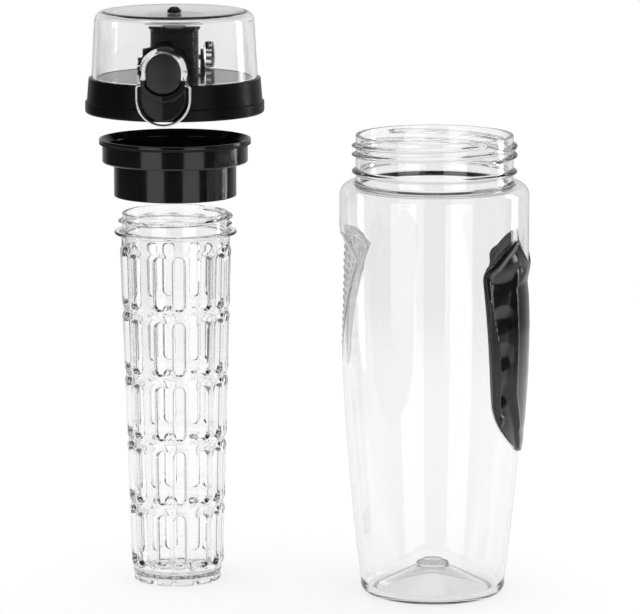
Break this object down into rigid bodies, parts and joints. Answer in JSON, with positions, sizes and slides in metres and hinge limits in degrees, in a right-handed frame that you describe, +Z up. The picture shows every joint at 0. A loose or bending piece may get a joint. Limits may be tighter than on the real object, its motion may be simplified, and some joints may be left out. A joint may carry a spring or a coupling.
{
  "type": "fruit infuser water bottle",
  "caption": "Clear water bottle with side grips, shown taken apart beside its slotted fruit infuser rod, adapter ring and flip lid with latch and wire lock.",
  "frame": {"origin": "centre of the bottle's standing ring, on the floor", "axes": "+Z up along the bottle; +X towards the finger grip; -Y towards the viewer and the lid's button"},
  "size_m": [0.205, 0.1045, 0.2663],
  "materials": {
    "clear_plastic": "clear moulded copolyester",
    "black_gloss": "glossy black moulding",
    "black_plastic": "smooth black moulding",
    "milky_pad": "milky clear soft pad",
    "milky_rubber": "milky silicone",
    "seal_rubber": "grey silicone seal",
    "bright_steel": "bright drawn wire",
    "spring_steel": "spring wire"
  },
  "bodies": {
    "bottle": {"bottle_body": "clear_plastic", "finger_grip": "black_gloss", "thumb_grip": "milky_pad"},
    "infuser": {"infuser_rod": "clear_plastic"},
    "ring_carrier": {"ring_seal": "seal_rubber"},
    "ring": {"adapter_ring": "black_gloss"},
    "lid": {"lid_cap": "black_plastic", "lid_gasket": "seal_rubber", "spout": "black_plastic", "latch_housing": "black_plastic", "button_spring": "spring_steel", "hinge_pin": "bright_steel", "hinge_spring": "spring_steel"},
    "cover": {"dome_cover": "clear_plastic", "spout_plug": "milky_rubber", "plug_cap": "black_plastic"},
    "button": {"push_button": "black_plastic"},
    "wire": {"wire_lock": "bright_steel"}
  },
  "joints": [
    {"name": "infuser_lift", "type": "slide", "parent": "bottle", "child": "infuser", "axis": [0, 0, 1], "range_m": [0, 0.2]},
    {"name": "ring_travel", "type": "slide", "parent": "infuser", "child": "ring_carrier", "axis": [0, 0, 1], "range_m": [-0.01605, 0]},
    {"name": "ring_turn", "type": "hinge", "parent": "ring_carrier", "child": "ring", "pos_m": [-0.12, 0.015, 0.19], "axis": [0, 0, 1], "range_deg": [-1440, 0]},
    {"name": "lid_lift", "type": "slide", "parent": "ring_carrier", "child": "lid", "axis": [0, 0, 1], "range_m": [-0.0244, 0.03]},
    {"name": "dome_flip", "type": "hinge", "parent": "lid", "child": "cover", "pos_m": [-0.12, 0.0575, 0.2386], "axis": [-1, 0, 0], "range_deg": [0, 135], "deforming": ["hinge_spring"]},
    {"name": "button_press", "type": "slide", "parent": "lid", "child": "button", "axis": [0, 1, 0], "range_m": [0, 0.002], "stiffness_N_per_m": 500, "springref_m": -0.001, "deforming": ["button_spring"]},
    {"name": "wire_lock_swing", "type": "hinge", "parent": "lid", "child": "wire", "pos_m": [-0.12, -0.02765, 0.2351], "axis": [-1, 0, 0], "range_deg": [0, 180]}
  ],
  "couplings": [
    {"joint": "ring_travel", "follows": "ring_turn", "m_per_rad": 0.00063662}
  ]
}
